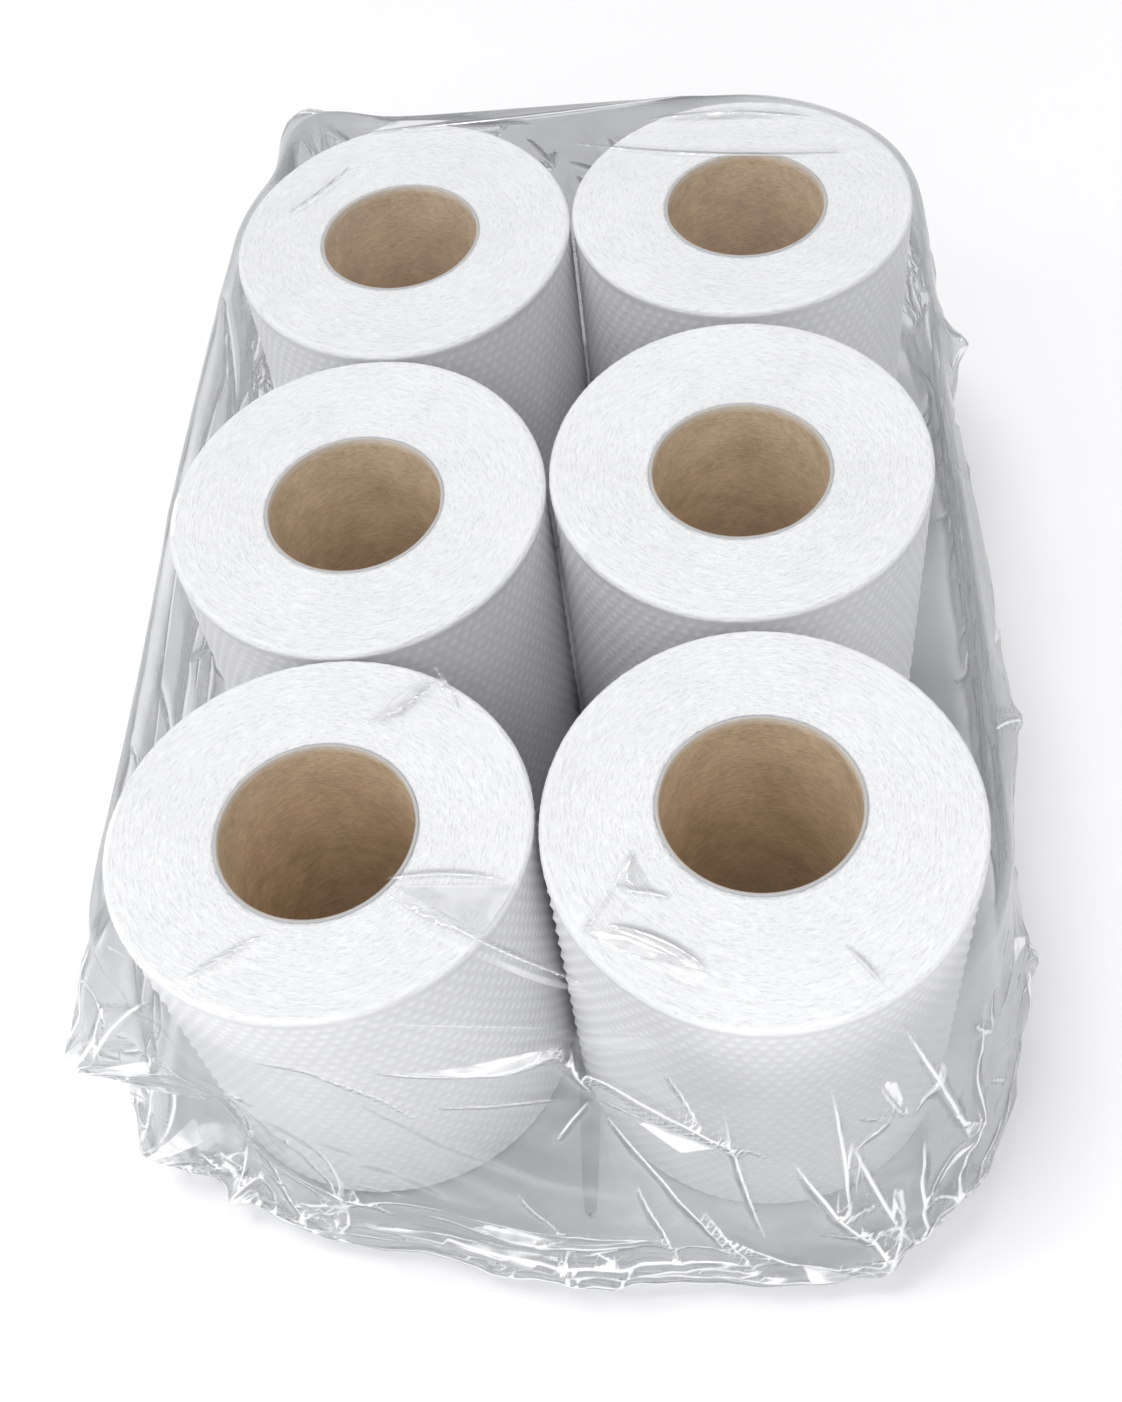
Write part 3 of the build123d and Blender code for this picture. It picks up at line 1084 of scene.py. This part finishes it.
# Ears, where the film stands out in a folded star: (round, down), height, radius and number of points.
EARS = (
    ((-102, 37), 10.0, 27.0, 7),
    ((-100, 88), 7.0, 20.0, 6),
    ((-80, 94), 4.0, 14.0, 5),
    ((62, 91), 2.5, 14.0, 6),
    ((80, 84), 2.0, 18.0, 5),
    ((116, 56), 3.0, 30.0, 5),
    ((150, 10), 2.5, 20.0, 4),
    ((272, 10), 3.0, 16.0, 6),
    ((-379, 8), 3.0, 22.0, 7),
    ((-352, 60), 4.0, 30.0, 5),
    ((352, 50), 4.0, 30.0, 5),
)


# How near the film's points may come to a roll's side, to the rolls' top ends and to the floor.
ROLL_CLEARANCE = 0.35 * MM
TOP_CLEARANCE = 0.12 * MM
FLOOR_CLEARANCE = 0.05 * MM


def keep_clear(grid, part):
    """Moves the film's points out of every roll and up from the floor: a point inside a roll's outline, grown
    by a little clearance, goes straight out from the roll's middle to that outline. The faces between the
    points aren't tested. Near a rim they can cut into its rounded edge, by about 0.3 mm as set here."""
    for roll in ROLLS.values():
        span = roll.half + ROLL_CLEARANCE
        offset = (grid[..., :2] - roll.middle) / span
        far = np.linalg.norm(offset, axis=-1)
        inside = (far < 1) & (grid[..., 2] < roll.top) & (part == WALL)
        scale = np.where(inside, 1 / np.maximum(far, 0.2), 1.0)
        grid[..., :2] = roll.middle + offset * span * scale[..., None]
    lowest = np.where(part == TOP, ROLL_TOP + TOP_CLEARANCE, FLOOR_CLEARANCE)
    grid[..., 2] = np.maximum(grid[..., 2], lowest)
    return grid


# ---- stage

FLOOR_REACH = 12.0
FLOOR_DROP = 0.2 * MM
SKY_STRENGTH = 0.62
# The sun's name, the direction that it comes from, its strength and its spread.
SUN = ("key", (-0.28, 0.14, 1.00), 0.98, math.radians(22))
AIM = (0, 0, 0.05)
# The soft lights, each with its place, width and height, and power.
LIGHTS = (
    ("front", (-0.45, -1.45, 0.45), (2.00, 0.60), 5.0),
    ("high_front", (0.05, -0.85, 1.15), (0.90, 0.90), 3.2),
    ("right", (1.20, -0.20, 0.90), (0.06, 1.00), 0.8),
    ("left", (-1.20, -0.20, 0.90), (0.06, 1.00), 2.0),
)


def add_light(name, place, size, power, aim):
    """A soft rectangular light at place, turned towards aim."""
    data = bpy.data.lights.new(name, "AREA")
    data.shape = "RECTANGLE"
    data.size, data.size_y = size
    data.energy = power
    lamp = link(name, data)
    lamp.location = place
    lamp.rotation_euler = (Vector(aim) - Vector(place)).to_track_quat("-Z", "Y").to_euler()


def add_sun(name, place, strength, spread):
    """A distant light that comes from the direction of place, with soft shadows as wide as spread."""
    data = bpy.data.lights.new(name, "SUN")
    data.energy = strength
    data.angle = spread
    lamp = link(name, data)
    lamp.rotation_euler = (-Vector(place)).to_track_quat("-Z", "Y").to_euler()


class ROLLPACK_OT_stage(bpy.types.Operator):
    """Sets the floor, the lights and the camera"""
    bl_idname = "rollpack.stage"
    bl_label = "Set the stage"

    def execute(self, context):
        look = context.scene.rollpack_stage
        scene = context.scene
        n = Nodes("floor")
        paint = n.add("ShaderNodeBsdfPrincipled", Base_Color=(*look.floor_colour, 1), Roughness=0.9)
        paint.inputs["Specular IOR Level"].default_value = 0.0
        mesh = bpy.data.meshes.new("floor")
        signs = ((-1, -1), (1, -1), (1, 1), (-1, 1))
        mesh.from_pydata([(x * FLOOR_REACH, y * FLOOR_REACH, -FLOOR_DROP) for x, y in signs], [],
                         [(0, 1, 2, 3)])
        mesh.materials.append(n.finish(paint.outputs[0]))
        link("floor", mesh)

        world = bpy.data.worlds.new("studio")
        world.use_nodes = True
        sky = world.node_tree.nodes["Background"].inputs
        sky["Color"].default_value = (1.0, 1.0, 1.0, 1)
        sky["Strength"].default_value = SKY_STRENGTH
        scene.world = world
        scene.view_settings.view_transform = "Standard"
        add_sun(*SUN)
        for light in LIGHTS:
            add_light(*light, AIM)

        down, turn, roll = look.camera_down, look.camera_turn, look.camera_roll
        ahead = Vector((math.sin(turn) * math.cos(down), math.cos(turn) * math.cos(down), -math.sin(down)))
        right = Vector((math.cos(turn), -math.sin(turn), 0))
        up = right.cross(ahead)
        image_right = right * math.cos(roll) + up * math.sin(roll)
        image_up = up * math.cos(roll) - right * math.sin(roll)
        data = bpy.data.cameras.new("camera")
        data.lens = look.lens
        data.sensor_width = 36.0
        camera = link("camera", data)
        axes = Matrix((image_right, image_up, -ahead)).transposed().to_4x4()
        camera.matrix_world = Matrix.Translation(look.camera_place) @ axes
        scene.camera = camera
        return {"FINISHED"}


# ---- add-on

class ROLLPACK_PT_panel(bpy.types.Panel):
    """Lists every step of the pack"""
    bl_label = "Roll Pack"
    bl_space_type = "VIEW_3D"
    bl_region_type = "UI"
    bl_category = "Roll Pack"

    def draw(self, context):
        for title, operator in STEPS:
            settings = getattr(context.scene, f"rollpack_{title}", None)
            for key in settings.__annotations__ if settings else ():
                self.layout.prop(settings, key)
            self.layout.operator(operator.bl_idname)


STEPS = (
    ("tissue", ROLLPACK_OT_tissue),
    ("core", ROLLPACK_OT_cores),
    ("film", ROLLPACK_OT_film),
    ("stage", ROLLPACK_OT_stage),
)
SETTINGS = {"tissue": TissueLook, "core": CoreLook, "film": FilmLook, "stage": StageLook}


def register():
    """Registers the settings, the operators and the panel"""
    for title, group in SETTINGS.items():
        bpy.utils.register_class(group)
        setattr(bpy.types.Scene, f"rollpack_{title}", PointerProperty(type=group))
    for _, operator in STEPS:
        bpy.utils.register_class(operator)
    bpy.utils.register_class(ROLLPACK_PT_panel)


def unregister():
    bpy.utils.unregister_class(ROLLPACK_PT_panel)
    for _, operator in reversed(STEPS):
        bpy.utils.unregister_class(operator)
    for title, group in SETTINGS.items():
        delattr(bpy.types.Scene, f"rollpack_{title}")
        bpy.utils.unregister_class(group)


def main():
    register()
    bpy.ops.rollpack.tissue()
    bpy.ops.rollpack.cores()
    bpy.ops.rollpack.film()
    bpy.ops.rollpack.stage()


if __name__ == "__main__":
    main()
